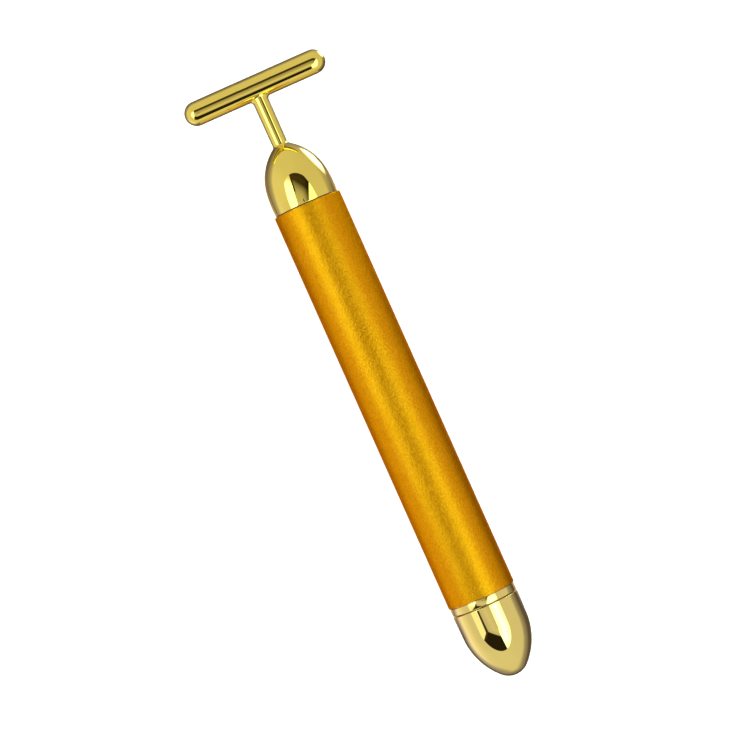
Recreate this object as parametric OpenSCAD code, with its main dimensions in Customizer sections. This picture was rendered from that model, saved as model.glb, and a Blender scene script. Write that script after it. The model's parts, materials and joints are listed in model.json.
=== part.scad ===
// Vibrating facial massager with a fixed T-bar head, lying on its handle.
// The handle runs along X with the head at +X, the T-bar runs along Y, and the
// lowest line of the handle rests on Z = 0 with the origin under the middle.
// All sizes are in millimetres.

/* [Handle tube] */
// Outer diameter of the handle tube
tube_d = 17.0; // [16.8:0.1:19]
// Wall of the handle tube
tube_wall = 0.7; // [0.65:0.05:0.75]
// Length of the handle tube
tube_len = 102.5; // [98:0.5:130]
// Chamfer on the tube's outer edges
tube_chamfer = 0.15; // [0.05:0.05:0.3]

/* [Massage head] */
// Diameter of the T-bar
bar_d = 6.0; // [5:0.1:8]
// Length of the T-bar over its round ends
bar_len = 36.5; // [24:0.5:50]
// Distance from the end of the tube to the T-bar's axis
bar_rise = 30.75; // [27:0.25:40]
// Diameter of the stem where it meets the T-bar
stem_top_d = 3.9; // [3:0.1:4.4]
// Diameter of the stem where it leaves the dome
stem_foot_d = 3.74; // [3:0.02:4.4]
// Radius of the blends at both ends of the stem
stem_blend = 0.8; // [0.4:0.1:1]
// Step from the tube's outside in to the dome's widest place
dome_step = 0.43; // [0.35:0.01:0.5]
// Height of the dome's widest place above the end of the tube
dome_belly = 2.35; // [1:0.05:3]
// Radius of the dome's flank, seen from the side
dome_flank_r = 27.6; // [22:0.2:36]
// Radius of the dome's nose, seen from the side
dome_nose_r = 13.4; // [12.4:0.2:15]
// Angle at which the flank hands over to the nose
dome_turn = 8.2; // [4:0.2:12]
// Length of the spigot that is bonded into the tube
spigot_len = 12.0; // [8:0.5:13]
// Thickness of the seal between dome and tube
seal_t = 0.2; // [0.1:0.05:0.5]
// Depth of the weight's chamber beyond the end of the tube
chamber_depth = 8.0; // [7.5:0.1:9]
// Included angle of the chamber's pointed end
chamber_point = 118; // [90:1:150]
// Width of the step between the motor's bore and the weight's chamber
chamber_step = 1.1; // [0.9:0.1:1.3]

/* [Tail cap and collar] */
// Length of the tail cap from tip to rim
cap_len = 18.5; // [18:0.5:24]
// Step from the tube's outside in to the cap's rim
rim_step = 0.15; // [0.05:0.01:0.2]
// Step from the tube's outside in to the cap's waist, where its nose starts
waist_step = 0.27; // [0.2:0.01:0.4]
// Length of the tail cap's rounded nose
cap_nose_len = 13.05; // [12:0.05:15]
// Radius of the tail cap's tip
cap_tip_r = 4.85; // [3.5:0.05:6]
// Wall of the tail cap's nose
cap_wall = 1.2; // [0.8:0.1:1.4]
// Width of the ledge in the cap that carries the screw insert
insert_ledge = 1.2; // [0.6:0.1:1.6]
// Length of the collar's visible band
band_len = 1.95; // [1.5:0.05:4]
// Step from the tube's outside in to the collar's band
band_step = 0.25; // [0.15:0.01:0.4]
// Length of the collar's sleeve inside the tube
sleeve_len = 9.0; // [7:0.5:12]
// Chamfer on the edges of the band and of the cap's rim
rim_chamfer = 0.12; // [0.05:0.01:0.15]

/* [Screw] */
// Pitch of the cap's thread
thread_pitch = 1.5; // [1:0.25:2]
// Turn, in degrees, from off to on
switch_turn = 60; // [30:5:90]
// Gap left between the cap's contact and the collar when switched on
touch_gap = 0.02; // [0.01:0.01:0.05]
// Length of the threaded boss beyond the cap's rim
boss_len = 5.5; // [5:0.25:7]
// Wall of the threaded boss
boss_wall = 1.0; // [0.9:0.1:1.2]
// Depth of the insert inside the cap
insert_depth = 8.5; // [7:0.25:9]
// Thickness of the insert's floor
insert_floor = 2.0; // [1:0.25:3]
// Radial room between the boss's core and the collar's bore
thread_room = 0.4; // [0.3:0.05:0.5]
// Thickness of the cap seal's ring
o_ring_t = 0.8; // [0.6:0.05:0.9]
// Distance from the cap's rim to the groove of the cap seal
groove_rise = 0.5; // [0.3:0.1:1.5]

/* [Contacts] */
// Thickness of the brass sheet in the contacts
sheet_t = 0.25; // [0.15:0.05:0.25]
// Width of the contact ring's face at the cap's rim
contact_ring_w = 0.9; // [0.6:0.05:1]
// Width of the cap's straps and of the return strip
strap_w = 2.5; // [1.5:0.1:3]
// Diameter of the wire of the negative spring
wire_d = 0.6; // [0.4:0.05:0.7]
// Outer diameter of the negative spring at its seat
spring_seat_d = 11.0; // [9:0.1:11.2]
// Outer diameter of the negative spring at the battery
spring_tip_d = 6.4; // [5:0.1:8]
// Turns of the negative spring
spring_turns = 6; // [4:1:7]
// Diameter of the positive contact's disc
contact_disc_d = 7.2; // [6.6:0.1:7.8]
// Diameter of the positive contact's rivet
rivet_d = 1.6; // [1:0.1:2.5]
// Height of the solder lug above the battery stop
lug_len = 3.6; // [2.5:0.1:5]
// Distance of the solder lug from the axis
lug_offset = 3.0; // [2:0.1:3.6]

/* [Battery] */
// Diameter of the AA cell
cell_d = 14.1; // [13.5:0.1:14.3]
// Length of the AA cell with its terminals
cell_len = 50.5; // [49.2:0.1:50.5]
// Thickness of the cell's jacket
jacket_t = 0.15; // [0.1:0.05:0.2]
// Width of the jacket's rolled ends
jacket_lip = 1.2; // [0.6:0.1:1.8]
// Wall of the cell's can
can_wall = 0.25; // [0.2:0.05:0.4]
// Diameter of the positive nub
nub_d = 5.5; // [4.5:0.1:5.5]
// Height of the positive nub
nub_h = 1.4; // [1.2:0.1:1.8]
// Diameter of the positive nub's flange
nub_flange_d = 6.8; // [6:0.1:7.4]
// Diameter of the negative plate
plate_d = 9.6; // [8:0.1:10.5]
// Depth of the negative plate and of the ring that insulates it
plate_depth = 1.35; // [0.8:0.05:2]
// Gap between the boss and the cell
boss_to_cell = 1.0; // [0.6:0.1:2]
// Radial room round the cell in its liner
cell_room = 0.2; // [0.15:0.05:0.2]
// Radial room round the cell in the collar
cell_entry_room = 0.3; // [0.2:0.05:0.3]

/* [Inside frame] */
// Thickness of the battery stop
stop_t = 4.0; // [3:0.5:6]
// Height of the polarity guard round the nub
guard_h = 0.9; // [0.6:0.1:1.2]
// Bore of the polarity guard
guard_bore = 8.0; // [7.8:0.1:9]
// Thickness of the motor carrier's end plates
end_plate_t = 2.0; // [1:0.25:3]
// Bore of the motor carrier's end plates
end_plate_bore = 9.6; // [9.4:0.1:10]
// Radial thickness of the motor carrier's rails
rail_t = 1.5; // [1:0.1:2]
// Angle that each rail covers
rail_angle = 42; // [25:1:60]
// Number of rails
rail_count = 3; // [2:1:4]
// Length of return strip that is free beyond the battery stop
strip_tail = 4.6; // [3.5:0.1:8]
// Length of the return strip's solder tab
tab_len = 2.2; // [1.5:0.1:3]
// Diameter of the insulated leads
lead_d = 1.0; // [0.7:0.1:1.2]

/* [Motor] */
// Diameter of the motor
motor_d = 12.0; // [11.8:0.1:12.2]
// Width of the motor over its flats
motor_flat = 10.0; // [9.8:0.1:10.4]
// Length of the motor's can
motor_len = 15.0; // [14.5:0.5:18]
// Wall of the motor's can
motor_wall = 0.5; // [0.3:0.05:0.6]
// Thickness of the rubber boot
boot_t = 0.5; // [0.4:0.05:0.6]
// Length at the motor's rear that the boot leaves free
boot_short = 0.5; // [0.3:0.1:1]
// Thickness of the end bell's flange
bell_t = 1.2; // [1:0.1:1.5]
// Depth of the end bell's plug inside the can
bell_plug = 1.5; // [1:0.1:1.7]
// Bore of the end bell's plug
bell_bore = 8.6; // [8.4:0.1:8.8]
// Diameter of the motor's shaft
shaft_d = 1.5; // [1.2:0.1:1.6]
// Radial running clearance of the shaft in its bearings
shaft_run = 0.03; // [0.02:0.01:0.06]
// Outer diameter of the bearings
bearing_d = 3.2; // [3:0.1:3.4]
// Diameter of the boss round the front bearing
nose_d = 4.4; // [4:0.1:5]
// Length of the boss round the front bearing
nose_len = 1.0; // [0.6:0.1:1.2]
// Thickness of the washers that keep the rotor in its place
washer_t = 0.3; // [0.2:0.05:0.4]
// Diameter of the washers
washer_d = 2.8; // [2.4:0.1:3]
// Distance from the can's front end to the magnets
magnet_setback = 3.75; // [3:0.25:4]
// Radial thickness of the magnets
magnet_t = 0.95; // [0.7:0.05:1]
// Angle that each magnet covers
magnet_angle = 100; // [70:5:100]
// Length of the magnets
magnet_len = 9.0; // [8:0.5:9.5]
// Air gap between armature and magnets
air_gap = 0.25; // [0.15:0.05:0.4]
// Length of the armature's stack
stack_len = 7.0; // [5:0.5:7.5]
// Depth of the armature's pole shoes
shoe_t = 1.0; // [0.7:0.1:1.2]
// Angle that each pole shoe covers
shoe_angle = 100; // [80:5:110]
// Width of the armature's arms
arm_w = 1.6; // [1:0.1:2]
// Thickness of each winding
coil_t = 0.9; // [0.6:0.1:1]
// Diameter of the armature's hub
hub_d = 3.2; // [2.8:0.1:3.4]
// Diameter of the commutator
commutator_d = 3.0; // [2.8:0.1:3.2]
// Diameter of the sleeve under the commutator's bars
commutator_core_d = 2.0; // [1.8:0.1:2.2]
// Length of the commutator's bars
commutator_len = 1.5; // [1.2:0.1:1.6]
// Gap between the commutator's bars, in degrees
bar_gap_angle = 16; // [8:1:24]
// Distance from the commutator's bars to the stack
bars_to_stack = 0.6; // [0.4:0.1:0.8]
// Running clearance between brushes and commutator
brush_gap = 0.05; // [0.02:0.01:0.1]
// Thickness of the brush leaves
brush_t = 0.15; // [0.1:0.01:0.2]
// Distance from a terminal to the arm of its brush
brush_offset = 1.2; // [0.8:0.1:1.3]
// Distance of the terminals from the axis
terminal_offset = 3.2; // [3:0.1:3.3]
// Width of the terminals
terminal_w = 1.8; // [1.2:0.1:2]
// Thickness of the terminals
terminal_t = 0.3; // [0.2:0.05:0.4]
// Length of the terminals behind the motor
terminal_len = 2.2; // [1.5:0.1:3]

/* [Eccentric weight] */
// Radius of the weight
weight_r = 4.6; // [3.5:0.1:5]
// Length of the weight
weight_len = 4.5; // [3:0.1:4.6]
// Diameter of the weight's hub
weight_hub_d = 3.4; // [2.8:0.1:4]
// Gap between the motor's nose and the weight
weight_gap = 1.2; // [0.5:0.1:1.3]
// Length of shaft beyond the weight
shaft_tail = 0.6; // [0.2:0.1:0.8]

/* [Hidden] */
$fn = 96;

// Clearances that are the same wherever they occur
bond_gap = 0.02;      // glue line of a bonded sleeve
slip_gap = 0.05;      // push fit between small pieces
blend_sink = 0.02;    // how far a blend sinks into what it joins
cut = 1;              // how far a cutting shape runs past what it cuts

// Radii of the handle and of what slides or sits in it
tube_r = tube_d / 2;
tube_in = tube_r - tube_wall;
bar_r = bar_d / 2;
cell_r = cell_d / 2;
liner_in = cell_r + cell_room;
liner_out = tube_in - slip_gap;
collar_bore = cell_r + cell_entry_room;
boss_r = collar_bore - thread_room;
boss_in = boss_r - boss_wall;
ring_r = boss_r + contact_ring_w;
strip_in = (liner_in + liner_out - sheet_t) / 2;

// Places along the axis, from the tail cap's tip to the T-bar
z_rim = cap_len;
z_insert = z_rim - insert_depth;
z_seat = z_insert + insert_floor;
z_groove = z_rim + groove_rise;
z_band = z_rim + thread_pitch * switch_turn / 360 + touch_gap;
z_boss = z_rim + boss_len;
z_tube = z_band + band_len;
z_sleeve_end = z_tube + sleeve_len;
z_cell = z_boss + boss_to_cell;
z_cell_end = z_cell + cell_len;
z_shoulder = z_cell_end - nub_h;
z_stop = z_cell_end + sheet_t;
z_guard = z_stop - guard_h;
z_stop_end = z_stop + stop_t;
z_strip_end = z_stop_end + strip_tail;
z_tube_end = z_tube + tube_len;
z_spigot = z_tube_end - spigot_len;
z_bar = z_tube_end + bar_rise;
length = z_bar + bar_r;

// The motor, which its boot holds in the head's bore
motor_r = motor_d / 2;
boot_r = motor_r + boot_t;
chamber_r = boot_r - chamber_step;
shaft_r = shaft_d / 2;
bearing_r = bearing_d / 2;
armature_r = motor_r - motor_wall - magnet_t - air_gap;
shoe_in = armature_r - shoe_t;
z_can_front = z_tube_end - boot_t;
z_can = z_can_front - motor_len;
z_bell = z_can - bell_t;
z_terminal = z_bell - terminal_len;
z_nose = z_can_front + nose_len;
z_magnet = z_can_front - magnet_setback - magnet_len;
z_stack = z_magnet + (magnet_len - stack_len) / 2;
z_bars = z_stack - bars_to_stack - commutator_len;
z_brush = z_bars + brush_t;
z_brush_end = z_stack - coil_t - brush_t;
z_weight = z_nose + weight_gap;

// The tail cap's outline: a tapered skirt, a flank arc and a tip arc. The arcs
// meet without a corner, so the flank's radius follows from the other sizes.
cap_waist_r = tube_r - waist_step;
cap_flank_r = (cap_nose_len ^ 2 - 2 * cap_nose_len * cap_tip_r + cap_waist_r ^ 2)
    / (2 * (cap_waist_r - cap_tip_r));
cap_turn = acos((cap_flank_r - cap_waist_r) / (cap_flank_r - cap_tip_r));

// The dome's outline: a flank arc and a nose arc that meet without a corner.
// Heights in the head are measured from the end of the tube.
dome_flank_x = tube_r - dome_step - dome_flank_r;
dome_nose_x = dome_flank_x + (dome_flank_r - dome_nose_r) * cos(dome_turn);
dome_nose_h = dome_belly + (dome_flank_r - dome_nose_r) * sin(dome_turn);
dome_turn_h = dome_belly + dome_flank_r * sin(dome_turn);

// Radius of the floor of the groove for the cap seal
groove_floor = collar_bore - slip_gap - o_ring_t;

// The bends of both leads on their way from their solder tab up to the motor.
// Each point gives its place across the axis and its share of the way.
red_bends = [[1.2, 3.4, 0.35], [-0.8, 3.9, 0.65]];
black_bends = [[4.4, -1.2, 0.35], [1.6, -3.9, 0.65]];
lead_straight = 0.08; // share of the way that is straight at either end
lead_steps = 3;       // rings from one point of a lead's way to the next
wire_sides = 8;       // sides of the spring's wire and of the leads
wire_rings = 16;      // rings in each turn of the spring

// The armature has one arm, one winding and one commutator bar for each pole
pole_count = 3;
pole_step = 360 / pole_count;

// Puts a piece that is drawn upright on its axis into its place in the object
module on_axis() {
    translate([-length / 2, 0, tube_r]) rotate([0, 90, 0]) children();
}

// A round sleeve between two heights
module sleeve(r_in, r_out, z_low, z_high) {
    rotate_extrude() translate([r_in, z_low]) square([r_out - r_in, z_high - z_low]);
}

// A round plug between two heights
module plug(r, z_low, z_high) {
    translate([0, 0, z_low]) cylinder(r = r, h = z_high - z_low);
}

// A flat shape made into a slab between two heights
module slab(z_low, z_high) {
    translate([0, 0, z_low]) linear_extrude(z_high - z_low) children();
}

// Part of a flat ring that covers an angle round +X
module ring_part(r_in, r_out, angle) {
    reach = r_out / cos(angle / 2) + cut;
    half = [cos(angle / 2), sin(angle / 2)];
    intersection() {
        difference() {
            circle(r_out);
            circle(r_in);
        }
        polygon([[0, 0], reach * [half[0], -half[1]], reach * half]);
    }
}

// Part of a circle between two heights, to the right of the axis
module arc_slice(x, z, r, z_low, z_high) {
    intersection() {
        translate([x, z]) circle(r);
        translate([0, z_low]) square([2 * r, z_high - z_low]);
    }
}

// Rings of points round a path, joined into one closed tube
module swept_tube(path, r, sides) {
    last = len(path) - 1;
    rings = [for (i = [0 : last])
        let (
            along = path[min(i + 1, last)] - path[max(i - 1, 0)],
            across = cross(along, [1, 0, 0]),
            u = across / norm(across),
            v = cross(along, u) / norm(along)
        )
        for (k = [0 : sides - 1])
            path[i] + r * (cos(360 * k / sides) * u + sin(360 * k / sides) * v)
    ];
    walls = [for (i = [0 : last - 1], k = [0 : sides - 1])
        let (
            here = i * sides + k,
            beside = i * sides + (k + 1) % sides
        )
        each [[here, here + sides, beside + sides], [here, beside + sides, beside]]
    ];
    start_cap = [[for (k = [0 : sides - 1]) k]];
    end_cap = [[for (k = [0 : sides - 1]) last * sides + sides - 1 - k]];
    polyhedron(points = rings, faces = concat(walls, start_cap, end_cap));
}

// A smooth curve through hand-set points, with some steps between each pair
function smooth_route(p, steps) = concat(
    [for (i = [0 : len(p) - 2], s = [0 : steps - 1])
        let (
            t = s / steps,
            a = p[max(i - 1, 0)],
            b = p[i],
            c = p[i + 1],
            d = p[min(i + 2, len(p) - 1)]
        )
        (2 * b + (c - a) * t + (2 * a - 5 * b + 4 * c - d) * t ^ 2
            + (3 * b - a - 3 * c + d) * t ^ 3) / 2
    ],
    [p[len(p) - 1]]
);

// Handle and head

module handle_tube() {
    color("orange") on_axis() rotate_extrude() polygon([
        [tube_in, z_tube],
        [tube_r - tube_chamfer, z_tube],
        [tube_r, z_tube + tube_chamfer],
        [tube_r, z_tube_end - tube_chamfer],
        [tube_r - tube_chamfer, z_tube_end],
        [tube_in, z_tube_end]
    ]);
}

// Half outline of the dome and the stem, with the blend between them
module head_outline() {
    foot_r = stem_foot_d / 2;
    blend_x = foot_r + stem_blend;
    blend_h = dome_nose_h + sqrt((dome_nose_r + stem_blend) ^ 2 - (blend_x - dome_nose_x) ^ 2);
    share = dome_nose_r / (dome_nose_r + stem_blend);
    meet = [dome_nose_x, dome_nose_h] + share * [blend_x - dome_nose_x, blend_h - dome_nose_h];
    arc_slice(dome_flank_x, dome_belly, dome_flank_r, seal_t, dome_turn_h);
    arc_slice(dome_nose_x, dome_nose_h, dome_nose_r, seal_t, bar_rise);
    difference() {
        polygon([[0, dome_belly], meet, [blend_x, blend_h], [0, blend_h]]);
        translate([blend_x, blend_h]) circle(stem_blend);
    }
    polygon([
        [0, dome_belly],
        [foot_r, blend_h],
        [stem_top_d / 2, bar_rise - bar_r],
        [stem_top_d / 2, bar_rise],
        [0, bar_rise]
    ]);
}

// Half outline of the T-bar, along its own axis
module bar_outline() {
    straight = bar_len / 2 - bar_r;
    translate([0, -straight]) square([bar_r, 2 * straight]);
    for (side = [-1, 1])
        intersection() {
            translate([0, side * straight]) circle(bar_r);
            translate([0, side * (straight + bar_r) - bar_r]) square([bar_r, 2 * bar_r]);
        }
}

// Blend of the stem into the T-bar: a flare round the stem, cut on both sides
// to an arc that runs on into the bar's curved underside
module bar_blend() {
    flare_r = stem_top_d / 2 + stem_blend - blend_sink;
    flare_h = bar_rise - bar_r - stem_blend;
    side_x = flare_r - blend_sink;
    side_h = bar_rise - sqrt((bar_r + stem_blend - blend_sink) ^ 2 - side_x ^ 2);
    intersection() {
        difference() {
            plug(flare_r, flare_h, bar_rise);
            rotate_extrude() translate([flare_r, flare_h + blend_sink]) circle(stem_blend);
        }
        rotate([90, 0, 0]) slab(-flare_r - cut, flare_r + cut) difference() {
            polygon([
                [-side_x, flare_h],
                [-side_x, side_h],
                [0, bar_rise],
                [side_x, side_h],
                [side_x, flare_h]
            ]);
            for (side = [-1, 1]) translate([side * side_x, side_h]) {
                circle(stem_blend);
                translate([-stem_blend, flare_h - side_h - cut])
                    square([2 * stem_blend, side_h - flare_h + cut]);
            }
        }
    }
}

// Bore for the motor's boot, with the weight's chamber beyond a step
module head_bore() {
    rotate_extrude() polygon([
        [0, -spigot_len - cut],
        [boot_r, -spigot_len - cut],
        [boot_r, 0],
        [chamber_r, 0],
        [chamber_r, chamber_depth],
        [0, chamber_depth + chamber_r / tan(chamber_point / 2)]
    ]);
}

module massage_head() {
    color("khaki") on_axis() translate([0, 0, z_tube_end]) difference() {
        union() {
            plug(tube_in - bond_gap, -spigot_len, dome_belly);
            rotate_extrude() head_outline();
            bar_blend();
            translate([0, 0, bar_rise]) rotate([90, 0, 0]) rotate_extrude() bar_outline();
        }
        head_bore();
    }
}

module head_seal() {
    seal_r = dome_flank_x + sqrt(dome_flank_r ^ 2 - (dome_belly - seal_t) ^ 2);
    color("black") on_axis() sleeve(tube_in, seal_r, z_tube_end, z_tube_end + seal_t);
}

// Tail cap, which is also the switch

module tail_collar() {
    band_r = tube_r - band_step;
    sleeve_r = tube_in - bond_gap;
    color("khaki") on_axis() rotate_extrude() polygon([
        [collar_bore + rim_chamfer, z_band],
        [band_r - rim_chamfer, z_band],
        [band_r, z_band + rim_chamfer],
        [band_r, z_tube],
        [sleeve_r, z_tube],
        [sleeve_r, z_sleeve_end],
        [collar_bore, z_sleeve_end],
        [collar_bore, z_band + rim_chamfer]
    ]);
}

// Half outline of the tail cap's nose, moved inwards by some thickness
module nose_outline(inwards) {
    flank_r = cap_flank_r - inwards;
    z_turn = cap_nose_len - flank_r * sin(cap_turn);
    arc_slice(cap_waist_r - cap_flank_r, cap_nose_len, flank_r, z_turn, cap_nose_len);
    arc_slice(0, cap_tip_r, cap_tip_r - inwards, inwards, z_turn);
}

module tail_cap() {
    rim_r = tube_r - rim_step;
    color("khaki") on_axis() difference() {
        rotate_extrude() {
            nose_outline(0);
            polygon([
                [0, cap_tip_r],
                [cap_waist_r, cap_nose_len],
                [rim_r, z_rim - rim_chamfer],
                [rim_r - rim_chamfer, z_rim],
                [0, z_rim]
            ]);
        }
        rotate_extrude() intersection() {
            nose_outline(cap_wall);
            square([boss_r - insert_ledge, z_insert + cut]);
        }
        plug(boss_r, z_insert, z_rim + cut);
        plug(ring_r, z_rim - sheet_t, z_rim + cut);
    }
}

// Room for the two straps of the cap's contact: under the spring's seat they go
// out through the insert's wall, then up its outside to the rim
module strap_room() {
    for (side = [0, 180]) rotate(side) intersection() {
        plug(boss_r, z_seat, z_rim);
        translate([0, -strap_w / 2, z_seat]) union() {
            cube([boss_r, strap_w, sheet_t]);
            translate([boss_r - sheet_t, 0, 0]) cube([sheet_t, strap_w, z_rim - z_seat]);
        }
    }
}

module screw_insert() {
    color("dimgray") on_axis() difference() {
        plug(boss_r, z_insert, z_boss);
        plug(boss_in, z_seat, z_boss + cut);
        sleeve(groove_floor, boss_r + cut, z_groove, z_groove + o_ring_t);
        strap_room();
    }
}

module cap_contact() {
    color("gold") on_axis() {
        plug(boss_in, z_seat, z_seat + sheet_t);
        strap_room();
        sleeve(boss_r, ring_r, z_rim - sheet_t, z_rim);
    }
}

module cap_seal() {
    seal_r = o_ring_t / 2;
    color("black") on_axis() rotate_extrude()
        translate([groove_floor + seal_r, z_groove + seal_r]) circle(seal_r);
}

// Conical spring whose first and last turn lie nearly closed
module battery_spring() {
    wire_r = wire_d / 2;
    closed_rise = 1.25 * wire_d;
    z_low = z_seat + sheet_t + wire_r + touch_gap;
    z_high = z_cell - wire_r - touch_gap;
    open_rise = (z_high - z_low - 2 * closed_rise) / (spring_turns - 2);
    path = [for (i = [0 : spring_turns * wire_rings])
        let (
            turn = i / wire_rings,
            open = min(max(turn - 1, 0), spring_turns - 2),
            r = (spring_seat_d + turn / spring_turns * (spring_tip_d - spring_seat_d)) / 2 - wire_r
        )
        [r * cos(360 * turn), r * sin(360 * turn), z_low + open * open_rise + (turn - open) * closed_rise]
    ];
    color("silver") on_axis() swept_tube(path, wire_r, wire_sides);
}

// AA cell

module battery_can() {
    can_r = cell_r - jacket_t;
    color("silver") on_axis() difference() {
        plug(can_r, z_cell + 2 * jacket_t, z_shoulder - jacket_t);
        plug(can_r - can_wall, z_cell, z_shoulder - jacket_t - can_wall);
    }
}

module battery_core() {
    color("dimgray") on_axis()
        plug(cell_r - jacket_t - can_wall, z_cell + plate_depth, z_shoulder - jacket_t - can_wall);
}

module battery_jacket() {
    can_r = cell_r - jacket_t;
    color("slategray") on_axis() {
        sleeve(can_r, cell_r, z_cell + jacket_t, z_shoulder);
        sleeve(can_r - jacket_lip, can_r, z_cell + jacket_t, z_cell + 2 * jacket_t);
        sleeve(can_r - jacket_lip, can_r, z_shoulder - jacket_t, z_shoulder);
    }
}

module battery_positive_cap() {
    z_low = z_shoulder - jacket_t;
    color("silver") on_axis() {
        plug(nub_flange_d / 2, z_low, z_low + can_wall);
        plug(nub_d / 2, z_low, z_cell_end);
    }
}

module battery_negative_plate() {
    color("silver") on_axis() plug(plate_d / 2, z_cell, z_cell + plate_depth);
}

module battery_seal_ring() {
    color("white") on_axis()
        sleeve(plate_d / 2, cell_r - jacket_t - can_wall, z_cell + 2 * jacket_t, z_cell + plate_depth);
}

// Inside frame and wiring

// Slot for the return strip through everything that it passes
module strip_slot(z_low, z_high) {
    width = strap_w + 2 * slip_gap;
    translate([strip_in - slip_gap, -width / 2, z_low]) cube([tube_r, width, z_high - z_low]);
}

module battery_liner() {
    color("white") on_axis() difference() {
        sleeve(liner_in, liner_out, z_sleeve_end, z_guard);
        translate([-slip_gap, 0, 0]) strip_slot(z_sleeve_end - cut, z_guard + cut);
    }
}

module battery_stop() {
    color("white") on_axis() difference() {
        plug(liner_out, z_guard, z_stop_end);
        plug(guard_bore / 2, z_guard - cut, z_stop);
        plug(rivet_d / 2, z_stop - cut, z_stop_end + cut);
        strip_slot(z_guard - cut, z_stop_end + cut);
    }
}

module positive_contact() {
    color("gold") on_axis() {
        plug(contact_disc_d / 2, z_cell_end, z_stop);
        plug(rivet_d / 2, z_cell_end, z_stop_end + 2 * sheet_t);
        translate([-strap_w / 2, 0, z_stop_end]) cube([strap_w, lug_offset, sheet_t]);
        translate([-strap_w / 2, lug_offset - sheet_t, z_stop_end]) cube([strap_w, sheet_t, lug_len]);
    }
}

module return_strip() {
    color("gold") on_axis() {
        translate([strip_in, -strap_w / 2, z_sleeve_end])
            cube([sheet_t, strap_w, z_strip_end - z_sleeve_end]);
        translate([strip_in - tab_len, -strap_w / 2, z_strip_end - sheet_t])
            cube([tab_len, strap_w, sheet_t]);
    }
}

// One tube, open between its end plates except for the rails
module motor_carrier() {
    z_rails = z_stop_end + end_plate_t;
    z_rails_end = z_bell - end_plate_t;
    color("white") on_axis() difference() {
        plug(liner_out, z_stop_end, z_spigot);
        plug(end_plate_bore / 2, z_stop_end - cut, z_bell + cut);
        plug(boot_r, z_bell, z_spigot + cut);
        strip_slot(z_stop_end - cut, z_rails + cut);
        slab(z_rails, z_rails_end) difference() {
            circle(tube_r);
            for (i = [0 : rail_count - 1])
                rotate(180 / rail_count + i * 360 / rail_count)
                    ring_part(liner_out - rail_t, tube_r + cut, rail_angle);
        }
    }
}

module motor_boot() {
    color("dimgray") on_axis() {
        slab(z_can + boot_short, z_can_front) difference() {
            circle(boot_r);
            motor_outline(0);
        }
        sleeve(chamber_r, boot_r, z_can_front, z_tube_end);
    }
}

// A lead starts upright on its solder tab and ends square on its terminal
module lead(start, bends, end, z_low) {
    shares = concat(
        [[start[0], start[1], lead_straight]],
        bends,
        [[end[0], end[1], 1 - lead_straight]]
    );
    curve = [for (p = shares) [p[0], p[1], z_low + p[2] * (z_terminal - z_low)]];
    route = concat(
        [[start[0], start[1], z_low]],
        smooth_route(curve, lead_steps),
        [[end[0], end[1], z_terminal]]
    );
    swept_tube(route, lead_d / 2, wire_sides);
}

module red_lead() {
    color("red") on_axis()
        lead([0, lug_offset - sheet_t / 2], red_bends, [0, terminal_offset], z_stop_end + lug_len);
}

module black_lead() {
    color("black") on_axis()
        lead([strip_in - tab_len / 2, 0], black_bends, [0, -terminal_offset], z_strip_end);
}

// Motor

// Outline of the motor across its axis, moved inwards by some thickness
module motor_outline(inwards) {
    flat = motor_flat - 2 * inwards;
    intersection() {
        circle(motor_r - inwards);
        square([flat, motor_d], center = true);
    }
}

module motor_can() {
    color("silver") on_axis() difference() {
        union() {
            slab(z_can, z_can_front) motor_outline(0);
            plug(nose_d / 2, z_can_front - motor_wall, z_nose);
        }
        slab(z_can - cut, z_can_front - motor_wall) motor_outline(motor_wall);
        plug(bearing_r, z_can_front - cut, z_nose + cut);
    }
}

module motor_magnets() {
    color("dimgray") on_axis() slab(z_magnet, z_magnet + magnet_len)
        for (side = [90, 270]) rotate(side)
            ring_part(motor_r - motor_wall - magnet_t, motor_r - motor_wall, magnet_angle);
}

module motor_end_bell() {
    color("white") on_axis() difference() {
        union() {
            slab(z_bell, z_can) motor_outline(0);
            slab(z_can, z_can + bell_plug) difference() {
                motor_outline(motor_wall + bond_gap);
                circle(bell_bore / 2);
            }
        }
        plug(bearing_r, z_bell - cut, z_can + cut);
        for (side = [-1, 1])
            translate([-terminal_w / 2, side * terminal_offset - terminal_t / 2, z_bell - cut])
                cube([terminal_w, terminal_t, bell_t + 2 * cut]);
    }
}

module motor_terminals() {
    color("gold") on_axis() for (side = [-1, 1])
        translate([-terminal_w / 2, side * terminal_offset - terminal_t / 2, z_terminal])
            cube([terminal_w, terminal_t, z_brush_end - z_terminal]);
}

// Each brush is one bent leaf: a foot beside its terminal, an arm inwards and a
// flat blade that runs along the commutator
module motor_brushes() {
    leaf_y = commutator_d / 2 + brush_gap;
    arm_x = terminal_w / 2 + brush_offset;
    blade_end = commutator_d / 3;
    color("gold") on_axis() for (side = [0, 180]) rotate(side)
        slab(z_brush, z_brush_end) {
            translate([-blade_end, leaf_y]) square([arm_x + blade_end, brush_t]);
            translate([arm_x - brush_t, leaf_y]) square([brush_t, terminal_offset - leaf_y]);
            translate([terminal_w / 2, terminal_offset - brush_t]) square([brush_offset, brush_t]);
        }
}

module front_bearing() {
    color("peru") on_axis() sleeve(shaft_r + shaft_run, bearing_r, z_can_front - motor_wall, z_nose);
}

module rear_bearing() {
    color("peru") on_axis() sleeve(shaft_r + shaft_run, bearing_r, z_bell, z_can);
}

// Rotor

module motor_shaft() {
    color("silver") on_axis() plug(shaft_r, z_bell + slip_gap, z_weight + weight_len + shaft_tail);
}

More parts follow.
